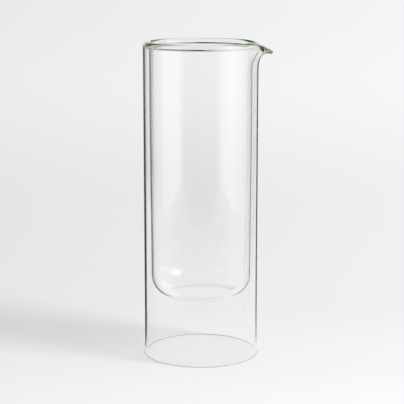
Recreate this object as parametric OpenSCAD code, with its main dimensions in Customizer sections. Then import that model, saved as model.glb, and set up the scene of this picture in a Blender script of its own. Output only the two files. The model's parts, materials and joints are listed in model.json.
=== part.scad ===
// Double-walled glass carafe with an open foot and a drawn pouring lip.
// A round-bottomed vessel hangs inside a straight sleeve, and a solid rim ring joins the two.
// Millimetres. The origin is the centre of the foot, +Z is up and the lip points along +X.

/* [Outer sleeve] */
// Outside diameter of the straight outer sleeve
sleeve_d = 100; // [94:1:108]
// Wall thickness of the outer sleeve
sleeve_wall = 1.5; // [1.3:0.1:2]
// Height from the foot to the top of the rim
total_h = 275; // [250:0.5:310]
// How far the fire-polished foot stands out past the straight wall
foot_flare = 0.6; // [0.2:0.1:1]
// Height over which the foot flares out
foot_flare_h = 12; // [4:0.5:14]

/* [Inner vessel] */
// Wall thickness of the inner vessel
vessel_wall = 1.5; // [1.3:0.1:2]
// Width of the air gap between the two walls at the neck
air_gap = 3.9; // [3:0.1:4.4]
// Height of the vessel's underside above the table
vessel_lift = 51; // [40:1:70]
// Outer radius of the vessel's bottom corner
corner_r = 19.5; // [14:0.5:26]
// How much smaller the vessel's radius is at the bottom than at the neck
vessel_taper = 1; // [0.4:0.1:2]
// Length of the parallel neck under the lip, above the tapered part
neck_len = 48; // [30:1:60]

/* [Rim] */
// Height of the solid ring of glass that joins the two walls
rim_h = 5; // [4.6:0.1:7]

/* [Pouring lip] */
// How far the lip's tip stands out past the sleeve
lip_reach = 12; // [8:0.2:15]
// How far the lip's tip is below the top of the rim
lip_drop = 7.8; // [5:0.1:10]
// How far below the rim the two walls start to bend outwards
lip_depth = 25; // [20:0.5:32]
// Thickness of the glass at the tip
lip_tip_t = 2.8; // [2.2:0.1:3.6]
// Half of the angle that the lip takes up around the rim
lip_half_angle = 36; // [30:1:44]

/* [Hidden] */
$fn = 96;
sleeve_r = sleeve_d / 2;
bore_r = sleeve_r - sleeve_wall;
neck_r = bore_r - air_gap;
mouth_r = neck_r - vessel_wall;
ring_t = sleeve_r - mouth_r;
rim_mid_r = (sleeve_r + mouth_r) / 2;

weld_z = total_h - rim_h;
shoulder_z = total_h - ring_t / 2;
bend_z = total_h - lip_depth;
neck_z = bend_z - neck_len;

// The lip's walls run a little way into the plain walls beside and below them. There they lie
// this far inside the plain wall's faces, so that the two join cleanly.
seam = 0.03;
lap = 1;
lap_angle = 1.5;

// Where the two faces of the air gap lie, as shares of the double wall from the inside.
double_wall = ring_t - 2 * seam;
vessel_share = (vessel_wall - 2 * seam) / double_wall;
sleeve_share = 1 - (sleeve_wall - 2 * seam) / double_wall;

// Rounding of the foot's two edges, which leaves a narrow flat land to stand on.
foot_round = 0.3 * sleeve_wall;
flare_steps = 6;
arc_steps = 12;

// The lip's middle line: where it ends, how far it droops there, and how upright it starts. Then
// how high its weld lies at the tip, and how its shape fades towards its two sides.
tip_mid = [sleeve_r + lip_reach - lip_tip_t / 2, total_h - lip_drop - lip_tip_t / 2];
lip_droop = 2.4;
lip_upright = 0.6;
lip_lean = 0.15;
lip_weld_t = 0.78;
lip_sharpness = 3;
lip_nose_angle = 2.5;
lip_steps = 28;
wall_steps = 9;
edge_steps = 3;

glass = [0.86, 0.93, 0.90, 0.45];
rim_glass = [0.62, 0.80, 0.70, 0.60];

// ---- Curves ----

function lerp(a, b, t) = a + (b - a) * t;

function arc(centre, r, from, to) =
    [for (i = [0 : arc_steps]) centre + r * [cos(lerp(from, to, i / arc_steps)),
                                             sin(lerp(from, to, i / arc_steps))]];

function bezier(p, t) =
    p[0] * pow(1 - t, 3) + p[1] * 3 * t * pow(1 - t, 2) + p[2] * 3 * t * t * (1 - t) + p[3] * pow(t, 3);

function bezier_slope(p, t) =
    (p[1] - p[0]) * pow(1 - t, 2) + (p[2] - p[1]) * 2 * t * (1 - t) + (p[3] - p[2]) * t * t;

// A quarter turn clockwise of a direction, made one long: it points out of the sleeve.
function outward(v) = [v.y, -v.x] / norm(v);

// ---- The lip ----

// Share of the full lip at an angle from its middle: one at the tip, none at the lip's two sides.
function soft_angle(a) = sqrt(a * a + lip_nose_angle * lip_nose_angle) - lip_nose_angle;
function lip_share(a) =
    pow(max(0, 1 - soft_angle(a) / soft_angle(lip_half_angle)), lip_sharpness);

// Middle line of the double wall, from the bend up to the start of the rounded edge.
rest_line = [for (i = [0 : 3]) [rim_mid_r, lerp(bend_z, shoulder_z, i / 3)]];
tip_line = [[rim_mid_r, bend_z],
            [rim_mid_r, lerp(bend_z, tip_mid.y, lip_upright)],
            [rim_mid_r + lip_reach * lip_lean, tip_mid.y + lip_droop],
            tip_mid];
function mid_line(s) = [for (i = [0 : 3]) lerp(rest_line[i], tip_line[i], s)];
function thickness(s, t) = lerp(double_wall, lip_tip_t, s * t * t);
function weld_t(s) = lerp((weld_z - bend_z) / (shoulder_z - bend_z), lip_weld_t, s);

// A point of the double wall: share 0 is its inner face, and share 1 its outer face.
function wall_point(s, t, share) =
    bezier(mid_line(s), t)
    + outward(bezier_slope(mid_line(s), t)) * thickness(s, t) * (share - 0.5);

function face_points(s, from, to, share, steps) =
    [for (i = [0 : steps]) wall_point(s, lerp(from, to, i / steps), share)];

// Rounded edge of the rim, from its outer face over to its inner face.
function edge_points(s) =
    let (across = (wall_point(s, 1, 1) - wall_point(s, 1, 0)) / 2,
         along = [-across.y, across.x],
         middle = bezier(mid_line(s), 1))
    [for (i = [1 : arc_steps - 1]) middle + across * cos(180 * i / arc_steps)
                                          + along * sin(180 * i / arc_steps)];

// Cross-section of one wall in the lip: up the face at share a, then down the face at share b.
function wall_section(s, a, b) =
    concat([wall_point(s, 0, a) - [0, lap]],
           face_points(s, 0, weld_t(s), a, wall_steps),
           face_points(s, weld_t(s), 0, b, wall_steps),
           [wall_point(s, 0, b) - [0, lap]]);

// Cross-section of the rim ring: along the two welds, up its outer face and over its edge.
function rim_section(s) =
    concat([for (share = [0, vessel_share, sleeve_share]) wall_point(s, weld_t(s), share)],
           face_points(s, weld_t(s), 1, 1, edge_steps),
           edge_points(s),
           [for (i = [edge_steps : -1 : 1])
               wall_point(s, lerp(weld_t(s), 1, i / edge_steps), 0)]);

function around(section, a) = [for (p = section) [p.x * cos(a), p.x * sin(a), p.y]];

// A solid through a row of cross-sections that all have the same number of points.
module skin(sections, flip = false) {
    n = len(sections[0]);
    last = len(sections) - 1;
    sides = [for (k = [0 : last - 1], i = [0 : n - 1])
        let (j = (i + 1) % n, a = k * n + i, b = k * n + j, c = b + n, d = a + n)
        each [[a, c, b], [a, d, c]]];
    first_end = [for (i = [0 : n - 1]) i];
    last_end = [for (i = [n - 1 : -1 : 0]) last * n + i];
    faces = concat(sides, [first_end, last_end]);
    polyhedron(
        points = [for (s = sections) each s],
        faces = flip ? [for (f = faces) [for (i = [len(f) - 1 : -1 : 0]) f[i]]] : faces,
        convexity = 6);
}

lip_end = lip_half_angle + lap_angle;
lip_angles = [for (i = [0 : lip_steps]) lerp(-lip_end, lip_end, i / lip_steps)];

module lip_wall(a, b) {
    skin([for (angle = lip_angles) around(wall_section(lip_share(angle), a, b), angle)]);
}

// The space that the lip takes up, cut from a plain turned wall to make room for it.
module lip_space() {
    far = 2 * sleeve_d;
    side = far * [cos(lip_half_angle), sin(lip_half_angle)];
    translate([0, 0, bend_z])
        linear_extrude(height = far)
            polygon([[0, 0], [side.x, -side.y], [side.x, side.y]]);
}

// ---- The three pieces ----

module vessel_profile() {
    corner_centre = [neck_r - vessel_taper - corner_r, vessel_lift + corner_r];
    outer_corner = arc(corner_centre, corner_r, -90, 0);
    inner_corner = arc(corner_centre, corner_r - vessel_wall, 0, -90);
    polygon(concat(
        [[0, vessel_lift]],
        outer_corner,
        [[neck_r, neck_z], [neck_r, weld_z], [mouth_r, weld_z], [mouth_r, neck_z]],
        inner_corner,
        [[0, vessel_lift + vessel_wall]]));
}

// Vessel that holds the drink: flat bottom, rounded corner, slight taper and parallel neck.
module inner_vessel() {
    color(glass) {
        difference() {
            rotate_extrude() vessel_profile();
            lip_space();
        }
        lip_wall(0, vessel_share);
    }
}

// Face of the sleeve near the foot, curving out by the flare from the straight wall down.
function flared_face(r) =
    [for (i = [0 : flare_steps - 1])
        let (down = i / flare_steps)
        [r + foot_flare * down * down, lerp(foot_flare_h, foot_round, down)]];

function reversed(points) = [for (i = [len(points) - 1 : -1 : 0]) points[i]];

module sleeve_profile() {
    foot_outer = sleeve_r + foot_flare;
    foot_inner = bore_r + foot_flare;
    polygon(concat(
        [[bore_r, weld_z]],
        flared_face(bore_r),
        arc([foot_inner + foot_round, foot_round], foot_round, 180, 270),
        arc([foot_outer - foot_round, foot_round], foot_round, -90, 0),
        reversed(flared_face(sleeve_r)),
        [[sleeve_r, weld_z]]));
}

// Straight outer tube, open underneath, that the carafe stands on and is held by.
module outer_sleeve() {
    color(glass) {
        difference() {
            rotate_extrude() sleeve_profile();
            lip_space();
        }
        lip_wall(sleeve_share, 1);
    }
}

// Solid ring that joins the two walls, rounded on top and drawn out into the pouring lip.
module pour_rim() {
    color(rim_glass) {
        rotate_extrude(start = lip_half_angle, angle = 360 - 2 * lip_half_angle)
            polygon(concat([[mouth_r, weld_z], [sleeve_r, weld_z]],
                           arc([rim_mid_r, shoulder_z], ring_t / 2, 0, 180)));
        skin([for (angle = lip_angles) around(rim_section(lip_share(angle)), angle)], flip = true);
    }
}

inner_vessel();
outer_sleeve();
pour_rim();
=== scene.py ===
"""Looks for a double-walled glass carafe: three clear glass pieces on a pale table."""

import json
import math

import bpy
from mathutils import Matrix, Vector


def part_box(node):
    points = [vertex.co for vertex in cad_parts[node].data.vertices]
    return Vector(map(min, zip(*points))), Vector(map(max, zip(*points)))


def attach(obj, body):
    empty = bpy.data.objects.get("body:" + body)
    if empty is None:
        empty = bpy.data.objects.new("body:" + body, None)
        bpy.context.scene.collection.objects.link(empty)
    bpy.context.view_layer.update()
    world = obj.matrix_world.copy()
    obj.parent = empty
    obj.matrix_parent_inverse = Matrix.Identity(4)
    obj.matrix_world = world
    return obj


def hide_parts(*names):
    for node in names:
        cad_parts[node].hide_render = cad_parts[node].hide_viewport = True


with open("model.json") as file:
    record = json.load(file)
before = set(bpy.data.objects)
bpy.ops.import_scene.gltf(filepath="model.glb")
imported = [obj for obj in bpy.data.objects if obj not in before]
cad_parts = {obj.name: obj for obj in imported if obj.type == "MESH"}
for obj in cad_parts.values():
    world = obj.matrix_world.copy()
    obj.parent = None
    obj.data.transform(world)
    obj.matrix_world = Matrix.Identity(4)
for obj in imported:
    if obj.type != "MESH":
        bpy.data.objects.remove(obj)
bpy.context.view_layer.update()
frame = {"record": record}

MM = 0.001

# ---- Sizes in metres and degrees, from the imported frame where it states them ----

rim_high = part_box("pour_rim")[1]
vessel_low, vessel_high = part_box("inner_vessel")
sleeve_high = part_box("outer_sleeve")[1]
mouth = next(m for m in frame["record"]["mounts"] if m["name"] == "mouth")

total_h = rim_high.z
sleeve_r = rim_high.y
neck_r = vessel_high.y
mouth_r = mouth["dims"]["r_mm"] * MM
tip_x = rim_high.x
foot_flare = sleeve_high.y - sleeve_r
vessel_lift = vessel_low.z

sleeve_wall = 1.5 * MM
bore_r = sleeve_r - sleeve_wall
vessel_wall = neck_r - mouth_r
ring_t = sleeve_r - mouth_r
ring_mid_r = (sleeve_r + mouth_r) / 2

corner_r = 19.5 * MM
vessel_taper = 1 * MM
neck_len = 48 * MM
foot_flare_h = 12 * MM

rim_h = 5 * MM
lip_depth = 25 * MM
lip_drop = 7.8 * MM
lip_tip_t = 2.8 * MM
lip_droop = 2.4 * MM
lip_upright = 0.6
lip_lean = 0.15
lip_half_angle = 36
lip_nose_angle = 2.5
lip_sharpness = 3
lip_weld_t = 0.78

weld_z = total_h - rim_h
shoulder_z = total_h - ring_t / 2
bend_z = total_h - lip_depth
neck_z = bend_z - neck_len

# Where the two faces of the air gap lie, as shares of the double wall from the inside.
vessel_share = vessel_wall / ring_t
sleeve_share = 1 - sleeve_wall / ring_t

# ---- Curves in the plane of one cross-section: x is the radius, y the height ----


def lerp(a, b, t):
    return a + (b - a) * t


def arc(centre, r, start, end, steps):
    angles = [math.radians(lerp(start, end, i / steps)) for i in range(steps + 1)]
    return [Vector(centre) + r * Vector((math.cos(a), math.sin(a))) for a in angles]


def bezier(p, t):
    u = 1 - t
    return p[0] * u**3 + p[1] * 3 * t * u * u + p[2] * 3 * t * t * u + p[3] * t**3


def bezier_slope(p, t):
    u = 1 - t
    return (p[1] - p[0]) * u * u + (p[2] - p[1]) * 2 * t * u + (p[3] - p[2]) * t * t


def lip_share(degrees):
    """How much of the full lip there is at an angle from its middle: 1 at the tip, 0 past its sides."""
    def soft(a):
        return math.hypot(a, lip_nose_angle) - lip_nose_angle

    return max(0.0, 1 - soft(degrees) / soft(lip_half_angle)) ** lip_sharpness


# Middle line of the double wall, where it runs straight up and where it bends out to the tip.
tip_mid = Vector((tip_x - lip_tip_t / 2, total_h - lip_drop - lip_tip_t / 2))
rest_line = [Vector((ring_mid_r, lerp(bend_z, shoulder_z, i / 3))) for i in range(4)]
tip_line = [
    Vector((ring_mid_r, bend_z)),
    Vector((ring_mid_r, lerp(bend_z, tip_mid.y, lip_upright))),
    Vector((ring_mid_r + (tip_x - sleeve_r) * lip_lean, tip_mid.y + lip_droop)),
    tip_mid,
]


def weld_t(s):
    """How far along the middle line the two walls meet the rim."""
    return lerp((weld_z - bend_z) / (shoulder_z - bend_z), lip_weld_t, s)


def wall_frame(s, t):
    """Middle of the double wall at t, and the step from its middle to its outer face."""
    line = [a.lerp(b, s) for a, b in zip(rest_line, tip_line)]
    slope = bezier_slope(line, t)
    out = Vector((slope.y, -slope.x)).normalized()
    return bezier(line, t), out * lerp(ring_t, lip_tip_t, s * t * t) / 2


def wall_point(s, t, share):
    """Share 0 is the double wall's inner face, and share 1 its outer face."""
    middle, half = wall_frame(s, t)
    return middle + half * (2 * share - 1)


def wall_face(s, start, end, share, steps):
    return [wall_point(s, lerp(start, end, i / steps), share) for i in range(steps + 1)]


def straight(a, b, steps):
    """Points between a and b, without the two ends."""
    return [Vector(a).lerp(Vector(b), i / steps) for i in range(1, steps)]


def arch(low, high, rise, steps):
    """Rounded roof between two points, without the two ends. Its height is rise times half its width."""
    middle, half = (low + high) / 2, (low - high) / 2
    up = Vector((half.y, -half.x)) * rise
    angles = [math.pi * i / steps for i in range(1, steps)]
    return [middle + half * math.cos(a) + up * math.sin(a) for a in angles]


# ---- Cross-sections of the three pieces, each a closed loop of points ----

WALL_STEPS = 28
LONG_STEPS = 10
CORNER_STEPS = 64
EDGE_STEPS = 48
RIM_STEPS = 6
GAP_STEPS = 24
GAP_RISE = 0.7
# How far past the weld the rim starts, so that its fused faces don't lie in the walls' ends.
WELD_HAIRLINE = 0.0012


def vessel_section(s):
    inner_r = corner_r - vessel_wall
    corner_mid = (neck_r - vessel_taper - corner_r, vessel_lift + corner_r)
    outer_corner = arc(corner_mid, corner_r, -90, 0, CORNER_STEPS)
    inner_corner = arc(corner_mid, inner_r, 0, -90, CORNER_STEPS)
    up = wall_face(s, 0, weld_t(s), vessel_share, WALL_STEPS)
    down = wall_face(s, weld_t(s), 0, 0, WALL_STEPS)
    underside = Vector((0, vessel_lift))
    outer_neck = Vector((neck_r, neck_z))
    inner_neck = Vector((mouth_r, neck_z))
    floor = Vector((0, vessel_lift + vessel_wall))
    return (
        [underside]
        + straight(underside, outer_corner[0], LONG_STEPS)
        + outer_corner
        + straight(outer_corner[-1], outer_neck, LONG_STEPS)
        + [outer_neck]
        + straight(outer_neck, up[0], LONG_STEPS)
        + up
        + down
        + straight(down[-1], inner_neck, LONG_STEPS)
        + [inner_neck]
        + straight(inner_neck, inner_corner[0], LONG_STEPS)
        + inner_corner
        + straight(inner_corner[-1], floor, LONG_STEPS)
        + [floor]
    )


def flared(r, round_r):
    """One face of the sleeve near the foot, from the straight wall down to the rounded end."""
    steps = [i / LONG_STEPS for i in range(LONG_STEPS)]
    return [Vector((r + foot_flare * k * k, lerp(foot_flare_h, round_r, k))) for k in steps]


def sleeve_section(s):
    round_r = sleeve_wall / 2
    foot_mid = bore_r + foot_flare + round_r
    up = wall_face(s, 0, weld_t(s), 1, WALL_STEPS)
    down = wall_face(s, weld_t(s), 0, sleeve_share, WALL_STEPS)
    inner = flared(bore_r, round_r)
    outer = flared(sleeve_r, round_r)[::-1]
    return (
        down
        + straight(down[-1], inner[0], LONG_STEPS)
        + inner
        + arc((foot_mid, round_r), round_r, 180, 360, EDGE_STEPS)
        + outer
        + straight(outer[-1], up[0], LONG_STEPS)
        + up
    )


def rim_section(s):
    """Under the rim from its inner to its outer face, then up and over its rounded edge."""
    weld = weld_t(s) + WELD_HAIRLINE
    middle, half = wall_frame(s, 1)
    along = Vector((-half.y, half.x))
    edge = [math.pi * i / EDGE_STEPS for i in range(1, EDGE_STEPS)]
    gap_sides = [wall_point(s, weld, share) for share in (vessel_share, sleeve_share)]
    return (
        [wall_point(s, weld, 0), gap_sides[0]]
        + arch(*gap_sides, GAP_RISE, GAP_STEPS)
        + [gap_sides[1]]
        + wall_face(s, weld, 1, 1, RIM_STEPS)
        + [middle + half * math.cos(a) + along * math.sin(a) for a in edge]
        + wall_face(s, 1, weld, 0, RIM_STEPS)[:-1]
    )


# Strips of each cross-section that are fused to another piece, counted along it from its first
# point: the vessel's top end, the sleeve's top end, and the rim's two faces beside the air gap.
VESSEL_WELDS = [3 * LONG_STEPS + CORNER_STEPS + WALL_STEPS]
SLEEVE_WELDS = [-1]
RIM_WELDS = [0, 1 + GAP_STEPS]

# ---- Turning a cross-section into a closed mesh ----

PLAIN_STEPS = 176
LIP_STEPS = 128
SHARP_ANGLE = 50
# Points nearer the axis than this become one point.
POLE = 1e-9


def turn_angles():
    """Angles round the axis, closer together across the lip."""
    lip = [lerp(-lip_half_angle, lip_half_angle, i / LIP_STEPS) for i in range(LIP_STEPS)]
    plain_end = 360 - lip_half_angle
    plain = [lerp(lip_half_angle, plain_end, i / PLAIN_STEPS) for i in range(PLAIN_STEPS)]
    return lip + plain


def turned_mesh(name, section, welds):
    """A closed mesh swept all the way round. Its fused strips take the second material."""
    angles = turn_angles()
    loops = [section(lip_share(a)) for a in angles]
    count = len(loops[0])
    fused = {i % count for i in welds}
    points, index = [], {}
    for k, (angle, loop) in enumerate(zip(angles, loops)):
        turn = math.radians(angle)
        for i, p in enumerate(loop):
            on_axis = p.x < POLE
            key = (0 if on_axis else k, i)
            if key not in index:
                index[key] = len(points)
                points.append((p.x * math.cos(turn), p.x * math.sin(turn), p.y))
            index[(k, i)] = index[key]
    faces, materials = [], []
    for k in range(len(angles)):
        after = (k + 1) % len(angles)
        for i in range(count):
            j = (i + 1) % count
            corners = [index[(k, i)], index[(after, i)], index[(after, j)], index[(k, j)]]
            corners = list(dict.fromkeys(corners))
            if len(corners) >= 3:
                faces.append(corners)
                materials.append(int(i in fused))
    mesh = bpy.data.meshes.new(name)
    mesh.from_pydata(points, [], faces)
    mesh.polygons.foreach_set("use_smooth", [True] * len(faces))
    mesh.polygons.foreach_set("material_index", materials)
    mesh.update()
    mesh.set_sharp_from_angle(angle=math.radians(SHARP_ANGLE))
    return mesh


def add_piece(node, section, welds, materials):
    """The glass that stands for one CAD node. materials are its glass and its fused faces."""
    name = node + "_glass"
    mesh = turned_mesh(name, section, welds)
    for material in materials:
        mesh.materials.append(material)
    piece = bpy.data.objects.new(name, mesh)
    bpy.context.scene.collection.objects.link(piece)
    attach(piece, "root")
    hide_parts(node)


# ---- Node helpers ----

CLEAR = (1, 1, 1, 1)


def add_node(tree, kind, inputs=None, **settings):
    """A new node. An input is linked when its value is another node's socket, and set otherwise."""
    made = tree.nodes.new(kind)
    for name, value in settings.items():
        setattr(made, name, value)
    for name, value in (inputs or {}).items():
        if isinstance(value, bpy.types.NodeSocket):
            tree.links.new(value, made.inputs[name])
        else:
            made.inputs[name].default_value = value
    return made


def calc(tree, operation, *values):
    node = add_node(tree, "ShaderNodeMath", dict(enumerate(values)), operation=operation)
    return node.outputs[0]


def vector_calc(tree, operation, *values, output="Vector"):
    node = add_node(tree, "ShaderNodeVectorMath", dict(enumerate(values)), operation=operation)
    return node.outputs[output]


def step_up(tree, value, low, high):
    """0 below low, 1 above high, and a smooth rise between."""
    node = add_node(
        tree,
        "ShaderNodeMapRange",
        {"Value": value, "From Min": low, "From Max": high},
        interpolation_type="SMOOTHSTEP",
    )
    return node.outputs["Result"]


def window_shape(tree, value, middle, half_width):
    """1 at the middle, and a smooth fall to 0 at half the width to either side."""
    off = calc(tree, "ABSOLUTE", calc(tree, "SUBTRACT", value, middle))
    return calc(tree, "SUBTRACT", 1.0, step_up(tree, off, 0.0, half_width))


def tone_ramp(tree, value, stops):
    """Greys that change smoothly with the value. A stop is a place from 0 to 1 and its tone."""
    node = add_node(tree, "ShaderNodeValToRGB", {"Fac": value})
    elements = node.color_ramp.elements
    node.color_ramp.interpolation = "EASE"
    while len(elements) < len(stops):
        elements.new(0.5)
    for element, (place, tone) in zip(elements, stops):
        element.position = place
        element.color = (tone, tone, tone, 1)
    return node.outputs["Color"]


def mix_colour(tree, share, first, second):
    node = add_node(tree, "ShaderNodeMix", {0: share, 6: first, 7: second}, data_type="RGBA")
    return node.outputs[2]


def mix_shader(tree, share, first, second):
    return add_node(tree, "ShaderNodeMixShader", {0: share, 1: first, 2: second}).outputs[0]


def clear_shader(tree, colour=CLEAR):
    return add_node(tree, "ShaderNodeBsdfTransparent", {"Color": colour}).outputs[0]


def seen_in_glass(tree):
    """1 for what is seen through glass or mirrored in it, and 0 for what the camera sees directly."""
    path = add_node(tree, "ShaderNodeLightPath").outputs
    return calc(tree, "MAXIMUM", path["Is Transmission Ray"], path["Is Glossy Ray"])


def camera_parts(tree, vector):
    """Parts of a vector along the way the camera faces, and to the camera's right, both level."""
    facing = add_node(
        tree,
        "ShaderNodeVectorTransform",
        {"Vector": (0, 0, 1)},
        vector_type="VECTOR",
        convert_from="CAMERA",
        convert_to="WORLD",
    ).outputs[0]
    level = vector_calc(tree, "NORMALIZE", vector_calc(tree, "MULTIPLY", facing, (1, 1, 0)))
    right = vector_calc(tree, "CROSS_PRODUCT", level, (0, 0, 1))
    return (
        vector_calc(tree, "DOT_PRODUCT", vector, level, output="Value"),
        vector_calc(tree, "DOT_PRODUCT", vector, right, output="Value"),
    )


def new_material(name):
    material = bpy.data.materials.new(name)
    material.use_nodes = True
    tree = material.node_tree
    tree.nodes.clear()
    return material, tree, add_node(tree, "ShaderNodeOutputMaterial")


# ---- Glass ----

GLASS_IOR = 1.474
GLASS_TINT = (0.42, 0.70, 0.06, 1)
# How strongly the glass takes up light, by piece. The thick rim is greener than the thin tubes.
TUBE_ABSORPTION = 0.6
RIM_ABSORPTION = 8.0
# Light that is trapped in the glass for more bounces than this is let straight out.
TUBE_LONGEST_PATH = 11.5
RIM_LONGEST_PATH = 7.5
# For the soft shadow: the share of light that one face lets past straight on, which is less than
# real glass lets past, and how fast that share falls with the slant.
PASSED_FACE_ON = 0.88
MIRRORING_POWER = 5.0
# The lines that drawing the tube leaves: their size, how far they are stretched along the tube,
# how high they stand, and the roughness where they are strongest.
LINE_SCALE = 45.0
LINE_DETAIL = 2.0
LINE_SOFTNESS = 0.4
LINE_STRETCH = 0.04
LINE_LOW = 0.3
LINE_HIGH = 0.7
LINE_ROUGHNESS = 0.012
TUBE_LINE_HEIGHT = 0.003 * MM
RIM_LINE_HEIGHT = 0.0


def draw_lines(tree):
    """Faint waviness along the tube's length, which drawing the tube from the melt leaves."""
    place = add_node(tree, "ShaderNodeTexCoord").outputs["Object"]
    stretched = vector_calc(tree, "MULTIPLY", place, (1, 1, LINE_STRETCH))
    return add_node(
        tree,
        "ShaderNodeTexNoise",
        {
            "Vector": stretched,
            "Scale": LINE_SCALE,
            "Detail": LINE_DETAIL,
            "Roughness": LINE_SOFTNESS,
        },
    ).outputs["Fac"]


def clear_glass(tree, line_height):
    """The glass itself, which bends light and mirrors it."""
    lines = draw_lines(tree)
    bump = add_node(
        tree, "ShaderNodeBump", {"Height": lines, "Distance": line_height, "Strength": 1.0}
    )
    polish = add_node(
        tree,
        "ShaderNodeMapRange",
        {
            "Value": lines,
            "From Min": LINE_LOW,
            "From Max": LINE_HIGH,
            "To Min": 0.0,
            "To Max": LINE_ROUGHNESS,
        },
    )
    return add_node(
        tree,
        "ShaderNodeBsdfPrincipled",
        {
            "Base Color": CLEAR,
            "Roughness": polish.outputs["Result"],
            "IOR": GLASS_IOR,
            "Transmission Weight": 1.0,
            "Normal": bump.outputs["Normal"],
        },
    ).outputs[0]


def soft_shadow(tree):
    """What light meets on its way to the table: clear face on, and dark where the glass is slanted."""
    shape = add_node(tree, "ShaderNodeNewGeometry").outputs
    facing = vector_calc(
        tree, "DOT_PRODUCT", shape["Incoming"], shape["Normal"], output="Value"
    )
    glancing = calc(tree, "SUBTRACT", 1.0, calc(tree, "ABSOLUTE", facing))
    mirrored = calc(tree, "POWER", glancing, MIRRORING_POWER)
    passed = calc(tree, "MULTIPLY_ADD", mirrored, -PASSED_FACE_ON, PASSED_FACE_ON)
    tint = add_node(tree, "ShaderNodeCombineColor", {"Red": passed, "Green": passed, "Blue": passed})
    return clear_shader(tree, tint.outputs[0])


def fill_with_glass(tree, output, absorption):
    """The green that grows with the way light goes through the glass."""
    absorb = add_node(
        tree, "ShaderNodeVolumeAbsorption", {"Color": GLASS_TINT, "Density": absorption}
    )
    tree.links.new(absorb.outputs[0], output.inputs["Volume"])


def glass_material(name, line_height, absorption, longest_path):
    """Clear borosilicate glass, with soft shadows in place of caustics."""
    material, tree, output = new_material(name)
    path = add_node(tree, "ShaderNodeLightPath").outputs
    shaded = mix_shader(
        tree, path["Is Shadow Ray"], clear_glass(tree, line_height), soft_shadow(tree)
    )
    trapped = calc(tree, "GREATER_THAN", path["Ray Depth"], longest_path)
    let_out = calc(tree, "MAXIMUM", trapped, path["Is Diffuse Ray"])
    surface = mix_shader(tree, let_out, shaded, clear_shader(tree))
    tree.links.new(surface, output.inputs["Surface"])
    fill_with_glass(tree, output, absorption)
    return material


def seam_material(name, absorption):
    """The fused faces inside the weld, where the glass carries on and nothing shows."""
    material, tree, output = new_material(name)
    tree.links.new(clear_shader(tree), output.inputs["Surface"])
    fill_with_glass(tree, output, absorption)
    return material


# ---- Table ----

TABLE_R = 14.0
TABLE_SIDES = 96
# How pale the table is by height in the view, from a little below it up to its top edge, and by
# how much the table gets paler from left to right. These gradings are painted light and shade over the
# table's own even pale tone.
BELOW_VIEW = 0.2
TABLE_TONES_AND_PAINTED_FALLOFF = [
    (0.1, 0.62), (0.2, 0.87), (0.29, 0.83), (0.4, 0.785), (0.6, 0.775), (0.84, 0.83), (1.0, 0.81),
]
PAINTED_FALLOFF_ACROSS = 0.05
GRAIN_SCALE = 220.0
GRAIN_DETAIL = 3.0
SPECKLE = 0.04
# Shade painted on the table along the line where the foot touches it.
TOUCH_WIDTH = 1.6 * MM
TOUCH_SHADE = 0.75
# In the glass, the table ends this far in front of the carafe and this far to each side.
TABLE_FRONT = 0.6
TABLE_SIDE = 0.65
# Two dark cards that only the glass shows, on the table behind the carafe. Their near and far
# edges run out from beside it at these slopes, to the left and to the right.
CARD_SIDE = 0.047
CARD_NEAR = (0.235, 0.28)
CARD_FAR = (0.75, 0.56)


# The table's pale tone and grain, with painted light and shade graded across the view and painted shade
# where the foot touches.
def table_tone_and_painted_light(tree, place):
    grain = add_node(
        tree,
        "ShaderNodeTexNoise",
        {"Vector": place, "Scale": GRAIN_SCALE, "Detail": GRAIN_DETAIL},
    ).outputs["Fac"]
    seen = add_node(tree, "ShaderNodeTexCoord").outputs["Window"]
    seen_at = add_node(tree, "ShaderNodeSeparateXYZ", {"Vector": seen}).outputs
    # Painted light and shade: the tone is graded by height in the view and brightens from left to right.
    height = calc(tree, "MULTIPLY_ADD", seen_at["Y"], 1 - BELOW_VIEW, BELOW_VIEW)
    across = add_node(
        tree,
        "ShaderNodeMapRange",
        {"Value": seen_at["X"], "To Min": 1 - PAINTED_FALLOFF_ACROSS, "To Max": 1 + PAINTED_FALLOFF_ACROSS},
    ).outputs["Result"]
    speckle = calc(tree, "MULTIPLY_ADD", grain, SPECKLE, 1 - SPECKLE / 2)
    level_place = vector_calc(tree, "MULTIPLY", place, (1, 1, 0))
    from_axis = vector_calc(tree, "LENGTH", level_place, output="Value")
    # Painted shade on the table along the line where the foot touches it.
    touch_shade = window_shape(tree, from_axis, bore_r + foot_flare + sleeve_wall / 2, TOUCH_WIDTH)
    lit = calc(tree, "MULTIPLY_ADD", touch_shade, -TOUCH_SHADE, 1.0)
    speckle_and_painted_light = calc(tree, "MULTIPLY", calc(tree, "MULTIPLY", across, speckle), lit)
    return vector_calc(tree, "MULTIPLY", tone_ramp(tree, height, TABLE_TONES_AND_PAINTED_FALLOFF), speckle_and_painted_light)


def card_edge(tree, forward, is_right, slopes):
    """How far aside a card's edge is at a distance behind the carafe."""
    left, right = slopes
    slope = calc(tree, "MULTIPLY_ADD", is_right, right - left, left)
    return calc(tree, "MULTIPLY_ADD", forward, slope, CARD_SIDE)


def table_gaps(tree, place):
    """1 on the dark cards and past the table's ends, and 0 on the rest of the table."""
    forward, right = camera_parts(tree, place)
    aside = calc(tree, "ABSOLUTE", right)
    is_right = calc(tree, "GREATER_THAN", right, 0.0)
    behind = calc(tree, "GREATER_THAN", forward, 0.0)
    past_near = calc(tree, "GREATER_THAN", aside, card_edge(tree, forward, is_right, CARD_NEAR))
    before_far = calc(tree, "LESS_THAN", aside, card_edge(tree, forward, is_right, CARD_FAR))
    in_card = calc(tree, "MULTIPLY", behind, calc(tree, "MULTIPLY", past_near, before_far))
    past_front = calc(tree, "LESS_THAN", forward, -TABLE_FRONT)
    past_side = calc(tree, "GREATER_THAN", aside, TABLE_SIDE)
    return calc(tree, "MAXIMUM", in_card, calc(tree, "MAXIMUM", past_front, past_side))


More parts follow.
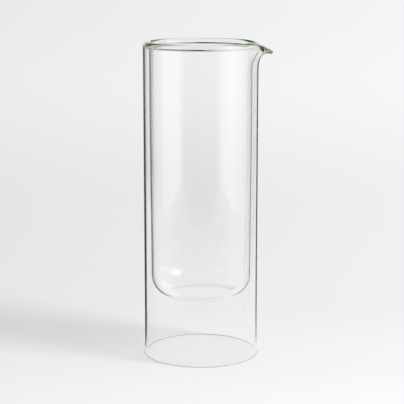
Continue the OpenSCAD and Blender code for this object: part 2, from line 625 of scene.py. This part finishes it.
def table_material():
    """Matt pale table, with painted light and shade graded across the view and painted shade where the
    foot touches. Only the camera sees all of it: the glass sees its ends and two cards.
    """
    material, tree, output = new_material("pale_table")
    place = add_node(tree, "ShaderNodeNewGeometry").outputs["Position"]
    matt = add_node(tree, "ShaderNodeBsdfDiffuse", {"Color": table_tone_and_painted_light(tree, place)})
    gone = calc(tree, "MULTIPLY", table_gaps(tree, place), seen_in_glass(tree))
    surface = mix_shader(tree, gone, matt.outputs[0], clear_shader(tree))
    tree.links.new(surface, output.inputs["Surface"])
    return material


def add_table():
    bpy.ops.mesh.primitive_circle_add(vertices=TABLE_SIDES, radius=TABLE_R, fill_type="NGON")
    table = bpy.context.object
    table.name = "table"
    table.data.materials.append(table_material())


# ---- Room ----

# Tones of the room by angle from the way the camera faces, to the right: the backdrop is at 0.
# The first list holds just below the level of the eye, and the second further down.
ROOM_HIGH = [
    (-180, 0.78), (-142, 0.78), (-134, 1.1), (-90, 1.1), (-80, 0.75), (-40, 0.6), (-35, 0.1),
    (-15, 0.1), (-11, 0.84), (14, 0.86), (17, 0.1), (27, 0.1), (31, 0.75), (68, 0.75), (78, 1.2),
    (115, 1.25), (132, 1.05), (142, 0.78), (180, 0.78),
]
ROOM_LOW = [
    (-180, 0.42), (-142, 0.42), (-134, 0.95), (-90, 0.95), (-80, 0.65), (-40, 0.5), (-35, 0.0),
    (-15, 0.0), (-11, 0.82), (14, 0.86), (17, 0.0), (27, 0.0), (31, 0.75), (68, 0.75), (78, 1.1),
    (115, 1.1), (132, 0.95), (142, 0.42), (180, 0.42),
]
# Heights in the room are the upward part of a direction whose length is one. The first list
# gives way to the second between the first two, and the plain backdrop begins over the next two.
LOW_UP = -0.19
HIGH_UP = -0.06
BACKDROP_FROM = 0.0
BACKDROP_FULL = 0.04
BACKDROP_TONE = 0.85
# The roof is plain for the camera. The glass shows a ceiling that starts lower and is dark ahead
# and a little to the left. Each of them starts at its height and is full at ROOF_BLEND times that.
# The glass also shows a lamp to the right.
ROOF_TONE = 0.75
CAMERA_ROOF = 0.5
GLASS_ROOF = 0.3
ROOF_BLEND = 1.25
CEILING = [(-180, 0.8), (-26, 0.8), (-18, 0.0), (4, 0.0), (10, 0.85), (180, 0.85)]
LAMP_AZIMUTH = 110
LAMP_HALF_WIDTH = 24
LAMP_UP = 0.42
LAMP_HALF_HEIGHT = 0.36
LAMP_TONE = 6


def lamp_glow(tree, angle, up):
    beside = window_shape(tree, angle, math.radians(LAMP_AZIMUTH), math.radians(LAMP_HALF_WIDTH))
    return calc(tree, "MULTIPLY", beside, window_shape(tree, up, LAMP_UP, LAMP_HALF_HEIGHT))


def room_tone(tree, way):
    forward, right = camera_parts(tree, way)
    angle = calc(tree, "ARCTAN2", right, forward)
    share = calc(tree, "MULTIPLY_ADD", angle, 0.5 / math.pi, 0.5)
    low, high, ceiling = (
        tone_ramp(tree, share, [((a + 180) / 360, tone) for a, tone in stops])
        for stops in (ROOM_LOW, ROOM_HIGH, CEILING)
    )
    up = add_node(tree, "ShaderNodeSeparateXYZ", {"Vector": way}).outputs["Z"]
    round_room = mix_colour(tree, step_up(tree, up, LOW_UP, HIGH_UP), low, high)
    backdrop = (BACKDROP_TONE, BACKDROP_TONE, BACKDROP_TONE, 1)
    at_backdrop = step_up(tree, up, BACKDROP_FROM, BACKDROP_FULL)
    walls = mix_colour(tree, at_backdrop, round_room, backdrop)
    in_glass = seen_in_glass(tree)
    plain_roof = (ROOF_TONE, ROOF_TONE, ROOF_TONE, 1)
    roof_tone = mix_colour(tree, in_glass, plain_roof, ceiling)
    roof_start = calc(tree, "MULTIPLY_ADD", in_glass, GLASS_ROOF - CAMERA_ROOF, CAMERA_ROOF)
    roof_full = calc(tree, "MULTIPLY", roof_start, ROOF_BLEND)
    plain_room = mix_colour(tree, step_up(tree, up, roof_start, roof_full), walls, roof_tone)
    shown_lamp = calc(tree, "MULTIPLY", lamp_glow(tree, angle, up), in_glass)
    return vector_calc(tree, "ADD", plain_room, calc(tree, "MULTIPLY", shown_lamp, LAMP_TONE))


def add_room():
    world = bpy.data.worlds.new("soft_room")
    bpy.context.scene.world = world
    world.use_nodes = True
    world.cycles.sampling_method = "NONE"
    tree = world.node_tree
    tree.nodes.clear()
    way = add_node(tree, "ShaderNodeTexCoord").outputs["Generated"]
    back = add_node(tree, "ShaderNodeBackground", {"Color": room_tone(tree, way)})
    output = add_node(tree, "ShaderNodeOutputWorld")
    tree.links.new(back.outputs[0], output.inputs["Surface"])


# ---- Camera and light ----

# The camera's place in metres, its tilt down in degrees, and its lens and sensor in millimetres.
CAMERA_DISTANCE = 1.1257
CAMERA_HEIGHT = 0.3520
CAMERA_ASIDE = 0.0010
CAMERA_PITCH = 10.913
CAMERA_LENS = 116.53
SENSOR_WIDTH = 36
# The large soft light, by degrees to the right of the way the camera faces and degrees up.
KEY_AZIMUTH = 113
KEY_ELEVATION = 28
KEY_SPREAD = 24
KEY_STRENGTH = 1.9


def add_camera():
    data = bpy.data.cameras.new("camera")
    data.lens = CAMERA_LENS
    data.sensor_width = SENSOR_WIDTH
    camera = bpy.data.objects.new("camera", data)
    camera.location = (CAMERA_ASIDE, -CAMERA_DISTANCE, CAMERA_HEIGHT)
    camera.rotation_euler = (math.radians(90 - CAMERA_PITCH), 0, 0)
    bpy.context.scene.collection.objects.link(camera)
    bpy.context.scene.camera = camera
    bpy.context.view_layer.update()
    return camera


def add_key_light(camera):
    """Large far light, not seen in the glass. It keeps its place beside the camera."""
    a, e = math.radians(KEY_AZIMUTH), math.radians(KEY_ELEVATION)
    way = Vector((math.sin(a) * math.cos(e), math.cos(a) * math.cos(e), math.sin(e)))
    data = bpy.data.lights.new("key", "SUN")
    data.angle = math.radians(KEY_SPREAD)
    data.energy = KEY_STRENGTH
    light = bpy.data.objects.new("key", data)
    light.visible_glossy = False
    light.visible_transmission = False
    light.rotation_mode = "QUATERNION"
    light.rotation_quaternion = way.to_track_quat("Z", "Y")
    bpy.context.scene.collection.objects.link(light)
    bpy.context.view_layer.update()
    world = light.matrix_world.copy()
    light.parent = camera
    light.matrix_parent_inverse = camera.matrix_world.inverted()
    light.matrix_basis = world


def set_light_paths():
    """Enough bounces for light to go through all the walls, and tones shown as they are."""
    scene = bpy.context.scene
    scene.cycles.max_bounces = 32
    scene.cycles.transmission_bounces = 32
    scene.cycles.glossy_bounces = 16
    scene.cycles.diffuse_bounces = 4
    scene.cycles.transparent_max_bounces = 64
    scene.cycles.use_adaptive_sampling = False
    scene.cycles.use_denoising = True
    scene.view_settings.view_transform = "Standard"
    scene.view_settings.look = "None"


# ---- The carafe ----

tube = (
    glass_material("drawn_glass", TUBE_LINE_HEIGHT, TUBE_ABSORPTION, TUBE_LONGEST_PATH),
    seam_material("fused_tube", TUBE_ABSORPTION),
)
ring = (
    glass_material("fire_polished_glass", RIM_LINE_HEIGHT, RIM_ABSORPTION, RIM_LONGEST_PATH),
    seam_material("fused_rim", RIM_ABSORPTION),
)
add_piece("inner_vessel", vessel_section, VESSEL_WELDS, tube)
add_piece("outer_sleeve", sleeve_section, SLEEVE_WELDS, tube)
add_piece("pour_rim", rim_section, RIM_WELDS, ring)

add_table()
add_room()
add_key_light(add_camera())
set_light_paths()
